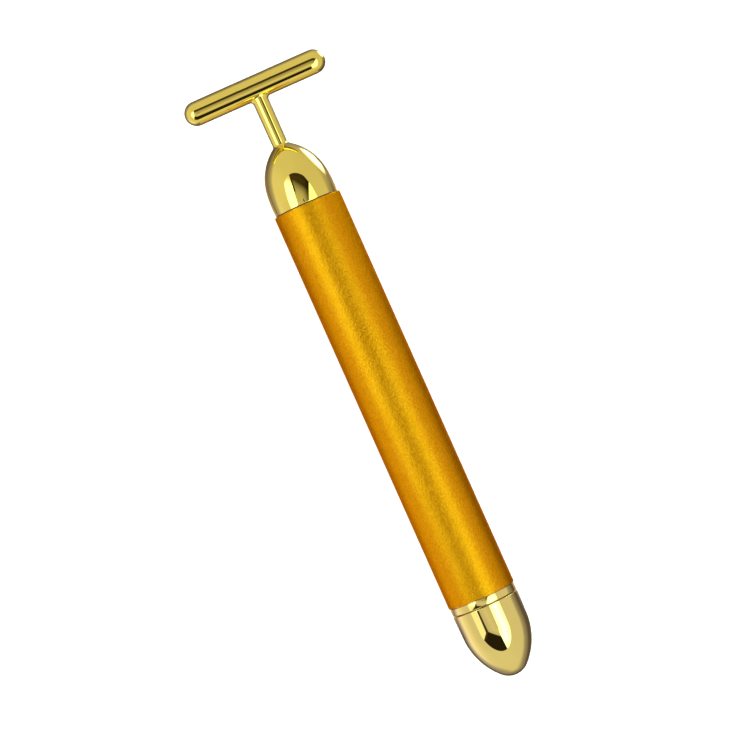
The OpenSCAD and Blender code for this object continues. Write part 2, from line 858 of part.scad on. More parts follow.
module armature_core() {
    color("slategray") on_axis() slab(z_stack, z_stack + stack_len) difference() {
        union() {
            circle(hub_d / 2);
            for (i = [0 : pole_count - 1]) rotate(i * pole_step) {
                translate([0, -arm_w / 2]) square([shoe_in + shoe_t / 2, arm_w]);
                ring_part(shoe_in, armature_r, shoe_angle);
            }
        }
        circle(shaft_r);
    }
}

// One winding lies round each arm, with rounded ends before and behind the stack
module armature_windings() {
    coil_from = hub_d / 2 + brush_t;
    half_w = arm_w / 2 + coil_t;
    color("chocolate") on_axis() for (i = [0 : pole_count - 1]) rotate(i * pole_step) intersection() {
        plug(shoe_in - slip_gap, z_stack - coil_t, z_stack + stack_len + coil_t);
        translate([coil_from, 0, 0]) rotate([90, 0, 90]) linear_extrude(shoe_in - coil_from)
            difference() {
                union() {
                    translate([-half_w, z_stack]) square([2 * half_w, stack_len]);
                    translate([-arm_w / 2, z_stack - coil_t])
                        square([arm_w, stack_len + 2 * coil_t]);
                    for (x = [-1, 1], z = [z_stack, z_stack + stack_len])
                        translate([x * arm_w / 2, z]) circle(coil_t);
                }
                translate([-arm_w / 2, z_stack]) square([arm_w, stack_len]);
            }
    }
}

module commutator_sleeve() {
    color("saddlebrown") on_axis() sleeve(shaft_r, commutator_core_d / 2, z_bars - brush_t, z_stack);
}

module commutator_bars() {
    color("peru") on_axis() slab(z_bars, z_bars + commutator_len)
        for (i = [0 : pole_count - 1]) rotate((i + 0.5) * pole_step)
            ring_part(commutator_core_d / 2, commutator_d / 2, pole_step - bar_gap_angle);
}

module thrust_washers() {
    z_rear = z_can + slip_gap;
    z_front = z_can_front - motor_wall - slip_gap - washer_t;
    color("white") on_axis() for (z = [z_rear, z_front])
        sleeve(shaft_r, washer_d / 2, z, z + washer_t);
}

// Half-moon weight, which hangs on the side nearest the ground at rest
module eccentric_weight() {
    color("gray") on_axis() slab(z_weight, z_weight + weight_len) difference() {
        union() {
            circle(weight_hub_d / 2);
            intersection() {
                circle(weight_r);
                translate([0, -weight_r]) square([weight_r, 2 * weight_r]);
            }
        }
        circle(shaft_r);
    }
}

handle_tube();
massage_head();
head_seal();
tail_collar();
tail_cap();
screw_insert();
cap_contact();
cap_seal();
battery_spring();
battery_can();
battery_core();
battery_jacket();
battery_positive_cap();
battery_negative_plate();
battery_seal_ring();
battery_liner();
battery_stop();
positive_contact();
return_strip();
motor_carrier();
motor_boot();
red_lead();
black_lead();
motor_can();
motor_magnets();
motor_end_bell();
motor_terminals();
motor_brushes();
front_bearing();
rear_bearing();
motor_shaft();
armature_core();
armature_windings();
commutator_sleeve();
commutator_bars();
thrust_washers();
eccentric_weight();
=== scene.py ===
import json
import math

import bmesh
import bpy
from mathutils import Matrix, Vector


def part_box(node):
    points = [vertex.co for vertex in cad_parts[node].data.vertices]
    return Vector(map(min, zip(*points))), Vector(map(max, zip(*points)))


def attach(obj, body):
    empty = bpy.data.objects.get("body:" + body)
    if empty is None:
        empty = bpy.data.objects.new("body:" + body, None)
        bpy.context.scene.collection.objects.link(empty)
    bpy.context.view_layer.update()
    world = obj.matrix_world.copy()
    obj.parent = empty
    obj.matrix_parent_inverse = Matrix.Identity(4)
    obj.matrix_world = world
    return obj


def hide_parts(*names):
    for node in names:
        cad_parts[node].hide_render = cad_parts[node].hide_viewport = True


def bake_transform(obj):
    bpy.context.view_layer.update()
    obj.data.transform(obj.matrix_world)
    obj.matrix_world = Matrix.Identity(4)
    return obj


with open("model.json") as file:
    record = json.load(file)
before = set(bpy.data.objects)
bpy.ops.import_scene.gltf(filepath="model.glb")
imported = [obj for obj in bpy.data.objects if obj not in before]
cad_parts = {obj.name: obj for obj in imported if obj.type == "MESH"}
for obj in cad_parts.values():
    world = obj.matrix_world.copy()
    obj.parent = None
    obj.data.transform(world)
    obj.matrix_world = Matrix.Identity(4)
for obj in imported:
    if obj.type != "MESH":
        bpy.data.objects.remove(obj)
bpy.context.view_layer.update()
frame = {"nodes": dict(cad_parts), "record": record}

# Sizes of the object, in millimetres. Heights run along the handle's axis: those
# of the head start at the tube's front end, those of the cap at its tip.
MM = 0.001

tube_low, tube_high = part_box("handle_tube")
axis_z = (tube_low.z + tube_high.z) / 2      # this one in metres
tube_r = (tube_high.z - tube_low.z) / 2 / MM
tube_start = tube_low.x / MM
tube_end = tube_high.x / MM
tube_wall = 0.7
tube_in = tube_r - tube_wall
bond_gap = 0.02         # glue line of a bonded sleeve
edge_round = 0.15       # size of a softened edge

head_low, head_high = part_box("massage_head")
bar_r = 3.0
bar_rise = head_high.x / MM - bar_r - tube_end
bar_straight = head_high.y / MM - bar_r
stem_top_r = 1.95
stem_foot_r = 1.87
stem_blend = 0.8
blend_reach = stem_top_r + stem_blend        # from the stem's axis to where the blend ends
column_reach = 1.5 * blend_reach             # from the stem's axis to where the T-bar's rings start
seal_t = 0.2
spigot_len = tube_end - head_low.x / MM
bore_r = 6.5
chamber_r = 5.4
chamber_depth = 8.0
chamber_point = 118     # included angle of the chamber's pointed end, in degrees

dome_belly = 2.35       # height of the dome's widest place
dome_step = 0.43        # from the tube's outside in to that place
dome_flank_r = 27.6
dome_nose_r = 13.4
dome_turn = 8.2         # angle at which the flank hands over to the nose, in degrees
dome_flank_c = tube_r - dome_step - dome_flank_r
dome_nose_c = dome_flank_c + (dome_flank_r - dome_nose_r) * math.cos(math.radians(dome_turn))
dome_nose_h = dome_belly + (dome_flank_r - dome_nose_r) * math.sin(math.radians(dome_turn))

cap_low, cap_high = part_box("tail_cap")
cap_start = cap_low.x / MM
cap_len = (cap_high.x - cap_low.x) / MM
cap_rim = cap_start + cap_len
cap_nose_len = 13.05
cap_tip_r = 4.85
waist_step = 0.27       # from the tube's outside in to where the cap's nose starts
rim_step = 0.15         # from the tube's outside in to the cap's rim
cap_waist_r = tube_r - waist_step
cap_rim_r = tube_r - rim_step
cap_wall = 1.2
cap_cavity_r = 5.75
insert_depth = 8.5
insert_r = 6.95
contact_r = 7.85
sheet_t = 0.25

collar_low, collar_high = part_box("tail_collar")
band_start = collar_low.x / MM
band_step = 0.25        # from the tube's outside in to the collar's band
band_r = tube_r - band_step
sleeve_end = collar_high.x / MM
collar_bore = 7.35
line_w = 0.16           # of the thin groove where the collar meets the tube
line_depth = 0.3
neck_r = 7.3            # of the brass neck that shows in the gap between collar and cap
neck_len = 0.45

thread_pitch = 1.5
thread_turns = 2.2
thread_rise = 1.8       # from the cap's rim to the start of its thread
thread_start = cap_rim + thread_rise
cap_thread_depth = 0.3
collar_thread_depth = 0.2

spring_low, spring_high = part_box("battery_spring")
spring_wire_r = 0.3
spring_tip_r = 3.2
spring_turns = 6

# How finely round shapes are divided
side_columns = 72       # columns of the head that run out to each half of the T-bar
seam_columns = 12       # columns of the head that meet along the top of the T-bar
round_columns = 192     # columns of every other turned piece
edge_steps = 3          # steps across a softened edge
thread_rings = 64       # sections in a turn of a thread
wire_rings = 48         # sections in a turn of the spring
wire_sides = 12
sharp_angle = math.radians(35)
no_width = 1e-6         # a smaller radius lies on the axis
weld_gap = 1e-7         # closer vertices become one, in metres


# Outlines and rows of vertices

def along(centre, radius, start, end, steps):
    """Points (height, radius) of an arc. The angles are in degrees, 0 along the axis, 90 outwards."""
    points = []
    for i in range(steps + 1):
        angle = math.radians(start + (end - start) * i / steps)
        points.append((centre[0] + radius * math.cos(angle), centre[1] + radius * math.sin(angle)))
    return points


def softened(outline, closed=True):
    """The outline with each sharp corner replaced by a small curve.

    Open ends and points on the axis stay. A curve takes at most 0.4 of the lines that it joins."""
    soft = []
    last = len(outline) - 1
    for i, point in enumerate(outline):
        here = Vector(point)
        back = Vector(outline[i - 1]) - here
        ahead = Vector(outline[(i + 1) % len(outline)]) - here
        turn = math.pi - back.angle(ahead)
        if here.y < no_width or turn < sharp_angle or (not closed and i in (0, last)):
            soft.append(point)
            continue
        room = min(edge_round * math.tan(turn / 2), 0.4 * back.length, 0.4 * ahead.length)
        start = here + back.normalized() * room
        end = here + ahead.normalized() * room
        for step in range(edge_steps + 1):
            t = step / edge_steps
            soft.append(tuple((1 - t) ** 2 * start + 2 * t * (1 - t) * here + t ** 2 * end))
    return soft


def point_at(x, y, z):
    """A point given in millimetres, with z from the handle's axis."""
    return Vector((x * MM, y * MM, z * MM + axis_z))


def vertices(work, points):
    return [work.verts.new(point) for point in points]


def ring_of(work, x, r, angles):
    """Vertices on a ring round the axis, or one vertex where the ring has no width."""
    if r < no_width:
        return vertices(work, [point_at(x, 0, 0)])
    return vertices(work, [point_at(x, r * math.cos(a), r * math.sin(a)) for a in angles])


def join(work, ring, following):
    """Faces between two closed rows of vertices. A row of one vertex closes the other with a fan."""
    count = max(len(ring), len(following))
    if count == 1:
        return
    for i in range(count):
        j = (i + 1) % count
        if len(ring) == 1:
            corners = (ring[0], following[i], following[j])
        elif len(following) == 1:
            corners = (ring[i], ring[j], following[0])
        else:
            corners = (ring[i], ring[j], following[j], following[i])
        work.faces.new(corners)


def join_all(work, rows):
    """Faces between each row and the next."""
    for row, following in zip(rows, rows[1:]):
        join(work, row, following)


def join_and_close(work, rows):
    """Faces between the rows, and one over the first row and the last."""
    join_all(work, rows)
    work.faces.new(rows[0])
    work.faces.new(rows[-1])


# Objects

def in_scene(name, data):
    """A new object of the scene with the mesh or other data."""
    made = bpy.data.objects.new(name, data)
    bpy.context.scene.collection.objects.link(made)
    return made


def piece(name, work, body, slot, nodes=()):
    """Turns the working mesh into a smooth piece with a slot's material.

    It rides on the body, if one is given, and stands in for the nodes."""
    bmesh.ops.remove_doubles(work, verts=work.verts, dist=weld_gap)
    bmesh.ops.recalc_face_normals(work, faces=work.faces)
    mesh = bpy.data.meshes.new(name)
    work.to_mesh(mesh)
    work.free()
    mesh.shade_smooth()
    mesh.set_sharp_from_angle(angle=sharp_angle)
    made = in_scene(name, mesh)
    weighted = made.modifiers.new("even_shading", "WEIGHTED_NORMAL")
    weighted.keep_sharp = True
    weighted.weight = 100
    if body:
        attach(made, body)
    if nodes:
        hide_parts(*nodes)
    made.data.materials.append(materials[slot])
    return made


def revolved(name, outline, body, slot, nodes=()):
    """A piece made by turning a closed outline of (x, r) points about the handle's axis."""
    work = bmesh.new()
    angles = [2 * math.pi * i / round_columns for i in range(round_columns)]
    rings = [ring_of(work, x, r, angles) for x, r in softened(outline)]
    join_all(work, rings + rings[:1])
    return piece(name, work, body, slot, nodes)


# Node trees

def grey(level):
    return (level, level, level, 1)


WHITE = grey(1)


class Graph:
    """Short ways to add nodes to one node tree. Sizes and depths are in millimetres."""

    def __init__(self, tree):
        self.tree = tree
        tree.nodes.clear()

    def put(self, socket, value):
        """Links another node's output to the socket, or sets the socket to a constant."""
        if isinstance(value, bpy.types.NodeSocket):
            self.tree.links.new(value, socket)
        else:
            socket.default_value = value

    def node(self, kind, inputs=None, **settings):
        made = self.tree.nodes.new(kind)
        for name, value in settings.items():
            setattr(made, name, value)
        for key, value in (inputs or {}).items():
            self.put(made.inputs[key], value)
        return made

    def show(self, kind, inputs, output="ShaderNodeOutputMaterial"):
        """Adds the shader and links it to the tree's output."""
        shader = self.node(kind, inputs)
        out = self.node(output)
        self.tree.links.new(shader.outputs[0], out.inputs["Surface"])

    def math(self, operation, *values):
        made = self.node("ShaderNodeMath", dict(enumerate(values)), operation=operation)
        return made.outputs[0]

    def plus(self, *values):
        result = values[0]
        for value in values[1:]:
            result = self.math("ADD", result, value)
        return result

    def minus(self, a, b):
        return self.math("SUBTRACT", a, b)

    def times(self, a, b):
        return self.math("MULTIPLY", a, b)

    def length(self, a, b):
        """Root of the sum of the squares."""
        return self.math("SQRT", self.plus(self.times(a, a), self.times(b, b)))

    def oval(self, x, y, centre, half):
        """Distance from the centre of an oval, 1 at its edge."""
        dx = self.math("DIVIDE", self.minus(x, centre[0]), half[0])
        dy = self.math("DIVIDE", self.minus(y, centre[1]), half[1])
        return self.length(dx, dy)

    def beyond(self, value, limit, slope):
        """Slope times what the value has above the limit."""
        return self.times(self.math("MAXIMUM", self.minus(value, limit), 0.0), slope)

    def vector(self, operation, a, b):
        return self.node("ShaderNodeVectorMath", {0: a, 1: b}, operation=operation).outputs["Vector"]

    def dot(self, vector, direction):
        inputs = {0: vector, 1: direction}
        return self.node("ShaderNodeVectorMath", inputs, operation="DOT_PRODUCT").outputs["Value"]

    def step(self, value, low, high, to_low=0.0, to_high=1.0):
        """A smooth step of the value from low to high."""
        inputs = {
            "Value": value,
            "From Min": low,
            "From Max": high,
            "To Min": to_low,
            "To Max": to_high,
        }
        made = self.node("ShaderNodeMapRange", inputs, interpolation_type="SMOOTHSTEP")
        return made.outputs["Result"]

    def spread(self, noise, low=0.0, high=1.0):
        """A noise, which stays mostly between 0.3 and 0.7, spread out between low and high."""
        return self.step(noise, 0.3, 0.7, low, high)

    def levels(self, value, stops):
        """A value that runs through (place, level) stops, with straight lines between them."""
        low, high = stops[0][0], stops[-1][0]
        share = self.node("ShaderNodeMapRange", {"Value": value, "From Min": low, "From Max": high})
        ramp = self.node("ShaderNodeValToRGB", {"Fac": share.outputs["Result"]})
        elements = ramp.color_ramp.elements
        for i, (place, level) in enumerate(stops):
            position = (place - low) / (high - low)
            element = elements[i] if i < 2 else elements.new(position)
            element.position = position
            element.color = grey(level)
        return ramp.outputs["Color"]

    def mix(self, share, a, b):
        """Colour a where the share is 0 and colour b where it is 1."""
        made = self.node("ShaderNodeMix", data_type="RGBA")
        self.put(made.inputs["Factor"], share)
        self.put(made.inputs[6], a)
        self.put(made.inputs[7], b)
        return made.outputs[2]

    def noise(self, vector, size, detail=2.0, roughness=0.5):
        inputs = {"Vector": vector, "Scale": 1 / (size * MM), "Detail": detail, "Roughness": roughness}
        return self.node("ShaderNodeTexNoise", inputs).outputs["Fac"]

    def waves(self, vector, size, direction, **inputs):
        inputs = {key.replace("_", " ").title(): value for key, value in inputs.items()}
        inputs.update({"Vector": vector, "Scale": 1 / (size * MM)})
        return self.node("ShaderNodeTexWave", inputs, bands_direction=direction).outputs["Fac"]

    def bump(self, height, depth, normal=None):
        inputs = {"Height": height, "Distance": depth * MM, "Strength": 1.0}
        if normal is not None:
            inputs["Normal"] = normal
        return self.node("ShaderNodeBump", inputs).outputs["Normal"]


def new_material(name):
    """An empty material and the graph of its nodes."""
    made = bpy.data.materials.new(name)
    made.use_nodes = True
    return made, Graph(made.node_tree)


def place_in(graph, stretch=(1, 1, 1)):
    """The point on the surface, in metres in the object's own frame, with each direction stretched."""
    point = graph.node("ShaderNodeTexCoord").outputs["Object"]
    return graph.node("ShaderNodeMapping", {"Vector": point, "Scale": stretch}).outputs["Vector"]


# Materials

def shade(colour, factor):
    return tuple(min(c * factor, 1.0) for c in colour) + (1,)


def surface(name, colour, roughness, metallic=0.0, mottle=0.12, mottle_size=2.0, grain_size=0.2,
            grain_depth=0.004, spread=0.06, stretch=(1, 1, 1), **sockets):
    """A material with a mottled colour, uneven gloss and a fine grain.

    The sizes are in millimetres, and stretch makes the grain longer in the directions where it is
    small. More inputs of the shader can be given by name, such as coat_weight."""
    made, graph = new_material(name)
    even = place_in(graph)
    grained = place_in(graph, stretch)
    cloud = graph.noise(even, mottle_size, 3.0)
    grain = graph.noise(grained, grain_size, 2.0, 0.6)
    both = graph.plus(graph.times(cloud, 0.5), graph.times(grain, 0.5))
    darker, lighter = shade(colour, 1 - mottle), shade(colour, 1 + mottle)
    inputs = {
        "Base Color": graph.mix(graph.spread(cloud), darker, lighter),
        "Metallic": metallic,
        "Roughness": graph.spread(both, max(roughness - spread, 0.02), roughness + spread),
        "Normal": graph.bump(grain, grain_depth),
    }
    inputs.update({key.replace("_", " ").title(): value for key, value in sockets.items()})
    graph.show("ShaderNodeBsdfPrincipled", inputs)
    return made


def plated_gold():
    """Mirror plating, paler towards the tail, with a faint haze and slight waves."""
    tail_gold = (0.925, 0.722, 0.215, 1)
    head_gold = (0.945, 0.722, 0.14, 1)
    haze_gold = (0.80, 0.55, 0.12, 1)
    change_half = 30 * MM         # the plating changes over this far each way from the middle
    made, graph = new_material("plated_gold")
    point = place_in(graph)
    haze = graph.noise(point, 2.5, 3.0)
    wave = graph.noise(point, 6, 1.0)
    speck = graph.noise(point, 0.12)
    along_axis = graph.dot(point, (1, 0, 0))
    plating = graph.mix(graph.step(along_axis, -change_half, change_half), tail_gold, head_gold)
    inputs = {
        "Base Color": graph.mix(graph.step(haze, 0.35, 0.65, 0.0, 0.06), plating, haze_gold),
        "Metallic": 1.0,
        "Roughness": graph.spread(haze, 0.02, 0.04),
        "Normal": graph.bump(speck, 0.0001, graph.bump(wave, 0.004)),
    }
    graph.show("ShaderNodeBsdfPrincipled", inputs)
    return made


def amber_anodised():
    """Aluminium blasted to a sparkling satin grain, under a slightly cloudy amber dye, with painted
    shade in the grain's pits.
    """
    thin_dye = (0.85, 0.328, 0.005, 1)
    thick_dye = (0.89, 0.354, 0.007, 1)
    # A darker colour for the grain's pits: painted shade.
    pit_painted_shade = (0.72, 0.270, 0.002, 1)
    made, graph = new_material("amber_anodised")
    point = place_in(graph)
    cloud = graph.noise(point, 5)
    blasted = graph.noise(point, 0.42, 2.0, 0.7)
    fine = graph.noise(point, 0.15, 2.0, 0.6)
    dye = graph.mix(graph.spread(cloud), thin_dye, thick_dye)
    inputs = {
        # Painted shade where the blasted grain dips, the same noise that sinks the pits in the bump.
        "Base Color": graph.mix(graph.step(blasted, 0.4, 0.6), pit_painted_shade, dye),
        "Metallic": 1.0,
        "Roughness": graph.spread(blasted, 0.35, 0.41),
        "Specular Tint": (0.85, 0.45, 0.16, 1),
        "Normal": graph.bump(fine, 0.004, graph.bump(blasted, 0.095)),
    }
    graph.show("ShaderNodeBsdfPrincipled", inputs)
    return made


def core_laminations():
    """Varnished steel sheets stacked along the axis."""
    made, graph = new_material("core_laminations")
    point = place_in(graph)
    sheets = graph.waves(point, 3.2, "X", distortion=0.3)
    cloud = graph.noise(point, 1.5)
    inputs = {
        "Base Color": graph.mix(graph.spread(cloud), (0.16, 0.17, 0.19, 1), (0.26, 0.27, 0.29, 1)),
        "Metallic": 0.9,
        "Roughness": graph.spread(cloud, 0.35, 0.5),
        "Normal": graph.bump(sheets, 0.03),
    }
    graph.show("ShaderNodeBsdfPrincipled", inputs)
    return made


def winding_copper():
    """Enamelled copper wire wound in layers, with its turns showing as fine ridges and painted shade in
    the grooves between them.
    """
    made, graph = new_material("winding_copper")
    point = place_in(graph)
    turns = graph.waves(point, 1.6, "DIAGONAL", distortion=0.6, detail_scale=2.0)
    inputs = {
        # Painted shade: the copper is dark where the ridges dip between the turns.
        "Base Color": graph.mix(turns, (0.30, 0.07, 0.02, 1), (0.72, 0.26, 0.09, 1)),
        "Metallic": 0.85,
        "Roughness": graph.step(turns, 0.0, 1.0, 0.38, 0.26),
        "Coat Weight": 0.6,
        "Coat Roughness": 0.15,
        "Normal": graph.bump(turns, 0.06),
    }
    graph.show("ShaderNodeBsdfPrincipled", inputs)
    return made


# Lines that run round the axis, as turning leaves them, and lines along it, as drawing does
turned = (1, 0.04, 0.04)
drawn = (0.04, 1, 1)

materials = {
    "amber_anodised": amber_anodised(),
    "plated_gold": plated_gold(),
    "seal_rubber": surface("seal_rubber", (0.022, 0.021, 0.020), 0.55, grain_depth=0.006),
    "motor_rubber": surface("motor_rubber", (0.05, 0.05, 0.053), 0.62,
                            grain_size=0.35, grain_depth=0.01),
    "dark_nylon": surface("dark_nylon", (0.045, 0.045, 0.05), 0.45,
                          grain_size=0.25, grain_depth=0.006),
    "white_plastic": surface("white_plastic", (0.82, 0.81, 0.77), 0.38, mottle=0.03, mottle_size=6.0,
                             subsurface_weight=0.15, subsurface_radius=(0.001, 0.0008, 0.0006)),
    "contact_brass": surface("contact_brass", (0.83, 0.62, 0.26), 0.24, 1.0, mottle=0.08,
                             grain_size=0.12, grain_depth=0.0015, stretch=drawn),
    "spring_steel": surface("spring_steel", (0.68, 0.67, 0.64), 0.26, 1.0, mottle=0.08,
                            grain_size=0.1, grain_depth=0.001),
    "cell_steel": surface("cell_steel", (0.70, 0.69, 0.66), 0.2, 1.0, mottle=0.06,
                          grain_size=0.2, grain_depth=0.001, stretch=turned),
    "cell_filling": surface("cell_filling", (0.035, 0.034, 0.033), 0.85,
                            grain_size=0.15, grain_depth=0.03),
    "cell_jacket": surface("cell_jacket", (0.06, 0.075, 0.11), 0.2, mottle=0.05, mottle_size=8.0,
                           grain_size=0.8, grain_depth=0.004, coat_weight=0.7, coat_roughness=0.08),
    "cell_seal": surface("cell_seal", (0.5, 0.52, 0.55), 0.5, mottle=0.05),
    "red_insulation": surface("red_insulation", (0.52, 0.02, 0.018), 0.36, mottle=0.08,
                              grain_size=0.3, stretch=drawn),
    "black_insulation": surface("black_insulation", (0.015, 0.015, 0.016), 0.36, mottle=0.1,
                                grain_size=0.3, stretch=drawn),
    "motor_steel": surface("motor_steel", (0.66, 0.67, 0.68), 0.24, 1.0, mottle=0.06,
                           grain_size=0.15, grain_depth=0.0015, stretch=drawn),
    "magnet_ferrite": surface("magnet_ferrite", (0.06, 0.06, 0.066), 0.6,
                              grain_size=0.1, grain_depth=0.006),
    "bearing_bronze": surface("bearing_bronze", (0.48, 0.27, 0.12), 0.38, 1.0, mottle=0.2,
                              mottle_size=0.2, grain_size=0.08, grain_depth=0.006),
    "shaft_steel": surface("shaft_steel", (0.72, 0.72, 0.73), 0.2, 1.0, mottle=0.04,
                           grain_size=0.06, grain_depth=0.001, stretch=turned),
    "core_laminations": core_laminations(),
    "winding_copper": winding_copper(),
    "commutator_resin": surface("commutator_resin", (0.17, 0.06, 0.02), 0.4, grain_size=0.12),
    "commutator_copper": surface("commutator_copper", (0.76, 0.38, 0.2), 0.28, 1.0, mottle=0.12,
                                 grain_size=0.05, grain_depth=0.002, stretch=turned),
    "washer_nylon": surface("washer_nylon", (0.78, 0.78, 0.72), 0.4, mottle=0.03),
    "weight_alloy": surface("weight_alloy", (0.33, 0.33, 0.34), 0.42, 0.9, mottle=0.15,
                            mottle_size=0.4, grain_size=0.12, grain_depth=0.008),
}


def dress_solids():
    """Gives every solid of the frame the material of its slot."""
    for row in frame["record"]["subparts"]:
        mesh = frame["nodes"][row["node"]].data
        mesh.materials.clear()
        mesh.materials.append(materials[row["material_slot"]])


# Handle

def handle_tube():
    outline = [
        (tube_start, tube_in),
        (tube_start, tube_r),
        (tube_end, tube_r),
        (tube_end, tube_in),
    ]
    revolved("tube", outline, "handle", "amber_anodised", ["handle_tube"])


# Massage head

def head_outline():
    """From the inner end of the bore out round the spigot and up the dome to the top of the stem."""
    blend_r = stem_foot_r + stem_blend
    blend_h = dome_nose_h + math.sqrt((dome_nose_r + stem_blend) ** 2 - (blend_r - dome_nose_c) ** 2)
    nose_end = math.degrees(math.atan2(blend_r - dome_nose_c, blend_h - dome_nose_h))
    rim = math.degrees(math.asin((dome_belly - seal_t) / dome_flank_r))
    bore = [
        (chamber_depth + chamber_r / math.tan(math.radians(chamber_point / 2)), 0),
        (chamber_depth, chamber_r),
        (0, chamber_r),
        (0, bore_r),
        (-spigot_len, bore_r),
        (-spigot_len, tube_in - bond_gap),
        (seal_t, tube_in - bond_gap),
    ]
    flank_steps, nose_steps, foot_steps = 24, 48, 12
    flank = along((dome_belly, dome_flank_c), dome_flank_r, 90 + rim, 90 - dome_turn, flank_steps)
    nose = along((dome_nose_h, dome_nose_c), dome_nose_r, 90 - dome_turn, nose_end, nose_steps)
    foot = along((blend_h, blend_r), stem_blend, 180 + nose_end, 270, foot_steps)
    stem_top = (bar_rise - bar_r - 2 * stem_blend, stem_top_r)
    return softened(bore + flank + nose[1:] + foot[1:] + [stem_top], closed=False)


def head_columns():
    """Each column's angle round the stem, and the place (y, turn) where it ends on the T-bar.

    The turn is the angle round the T-bar, 0 on the side of the stem."""
    corner = math.pi / 2 * side_columns / (side_columns + seam_columns)
    columns = []
    for side in (1, -1):
        for i in range(side_columns):
            share = 2 * i / side_columns - 1
            angle = share * corner if side == 1 else math.pi + share * corner
            columns.append((angle, side * column_reach, side * share * math.pi))
        for i in range(seam_columns):
            share = 2 * i / seam_columns - 1
            angle = side * math.pi / 2 + share * (math.pi / 2 - corner)
            columns.append((angle, -side * share * column_reach, side * math.pi))
    return columns


def bar_point(y, turn, r=bar_r):
    return point_at(tube_end + bar_rise - r * math.cos(turn), y, r * math.sin(turn))


def fillet_row(columns, share):
    """Points across the blend between the stem and the T-bar, from the stem (0) to the bar (1).

    The blend is what a ball leaves that rolls round the stem and touches both."""
    row = []
    for angle, _, _ in columns:
        y = blend_reach * math.cos(angle)
        z = blend_reach * math.sin(angle)
        x = -math.sqrt((bar_r + stem_blend) ** 2 - z ** 2)
        to_stem = Vector((0, -math.cos(angle), -math.sin(angle)))
        to_bar = Vector((-x, 0, -z)).normalized()
        way = to_stem.slerp(to_bar, share)
        row.append(point_at(
            tube_end + bar_rise + x + stem_blend * way.x,
            y + stem_blend * way.y,
            z + stem_blend * way.z,
        ))
    return row


def spread_row(columns, share):
    """Points on the T-bar between the edge of the blend (0) and the ends of the columns (1)."""
    row = []
    for angle, y_end, turn_end in columns:
        y = blend_reach * math.cos(angle)
        turn = math.asin(blend_reach * math.sin(angle) / (bar_r + stem_blend))
        row.append(bar_point(y + (y_end - y) * share, turn + (turn_end - turn) * share))
    return row


def head_trunk(work):
    """The bore, the spigot, the dome and the stem, and the middle of the T-bar."""
    fillet_steps, spread_steps = 8, 16
    crowding = 1.3        # the rows on the T-bar lie closer together near the blend
    columns = head_columns()
    angles = [column[0] for column in columns]
    rows = [ring_of(work, tube_end + h, r, angles) for h, r in head_outline()]
    for i in range(fillet_steps + 1):
        rows.append(vertices(work, fillet_row(columns, i / fillet_steps)))
    for i in range(1, spread_steps + 1):
        rows.append(vertices(work, spread_row(columns, (i / spread_steps) ** crowding)))
    join_all(work, rows)


def bar_half(work, side):
    """One half of the T-bar, from the ends of the columns to its round tip."""
    straight_steps, tip_steps = 8, 16
    places = []
    for i in range(straight_steps + 1):
        places.append((column_reach + (bar_straight - column_reach) * i / straight_steps, bar_r))
    for i in range(1, tip_steps):
        bend = math.pi / 2 * i / tip_steps
        places.append((bar_straight + bar_r * math.sin(bend), bar_r * math.cos(bend)))
    turns = [2 * math.pi * i / side_columns - math.pi for i in range(side_columns)]
    rings = [vertices(work, [bar_point(side * y, turn, r) for turn in turns]) for y, r in places]
    rings.append(vertices(work, [bar_point(side * (bar_straight + bar_r), 0, 0)]))
    join_all(work, rings)


def massage_head():
    work = bmesh.new()
    head_trunk(work)
    for side in (1, -1):
        bar_half(work, side)
    piece("head", work, "handle", "plated_gold", ["massage_head"])


# Tail cap and collar

def cap_outline():
    """From the tip out over the flank to the rim, and back through the cavity inside the wall.

    The tip's arc runs into the flank's without a corner."""
    tip_steps, flank_steps, cavity_steps = 24, 32, 12
    flank_r = (cap_nose_len ** 2 - 2 * cap_nose_len * cap_tip_r + cap_waist_r ** 2) / (
        2 * (cap_waist_r - cap_tip_r))
    tip_c = (cap_tip_r, 0)
    flank_c = (cap_nose_len, cap_waist_r - flank_r)
    tip_end = 90 + math.degrees(math.acos((flank_r - cap_waist_r) / (flank_r - cap_tip_r)))
    cavity_rise = cap_cavity_r - cap_waist_r + flank_r
    cavity_end = 180 - math.degrees(math.asin(cavity_rise / (flank_r - cap_wall)))
    outer = along(tip_c, cap_tip_r, 180, tip_end, tip_steps)
    outer += along(flank_c, flank_r, tip_end, 90, flank_steps)[1:]
    inner = along(tip_c, cap_tip_r - cap_wall, 180, tip_end, cavity_steps)
    inner += along(flank_c, flank_r - cap_wall, tip_end, cavity_end, cavity_steps)[1:]
    pocket = cap_len - insert_depth
    rim = [
        (cap_len, cap_rim_r),
        (cap_len, contact_r),
        (cap_len - sheet_t, contact_r),
        (cap_len - sheet_t, insert_r),
        (pocket, insert_r),
        (pocket, cap_cavity_r),
    ]
    outline = outer + rim + inner[::-1]
    return [(cap_start + h, max(r, 0)) for h, r in outline]


def tail_cap():
    revolved("cap", cap_outline(), "tail_cap_screw", "plated_gold", ["tail_cap"])


def cap_neck():
    outline = [
        (cap_rim, insert_r - bond_gap),
        (cap_rim, neck_r),
        (cap_rim + neck_len, neck_r),
        (cap_rim + neck_len, insert_r - bond_gap),
    ]
    revolved("cap_neck", outline, "tail_cap_screw", "contact_brass")


def tail_collar():
    outline = [
        (band_start, collar_bore),
        (band_start, band_r),
        (tube_start - line_w, band_r),
        (tube_start - line_w, band_r - line_depth),
        (tube_start, band_r - line_depth),
        (tube_start, tube_in - bond_gap),
        (sleeve_end, tube_in - bond_gap),
        (sleeve_end, collar_bore),
    ]
    revolved("collar", outline, "handle", "plated_gold", ["tail_collar"])


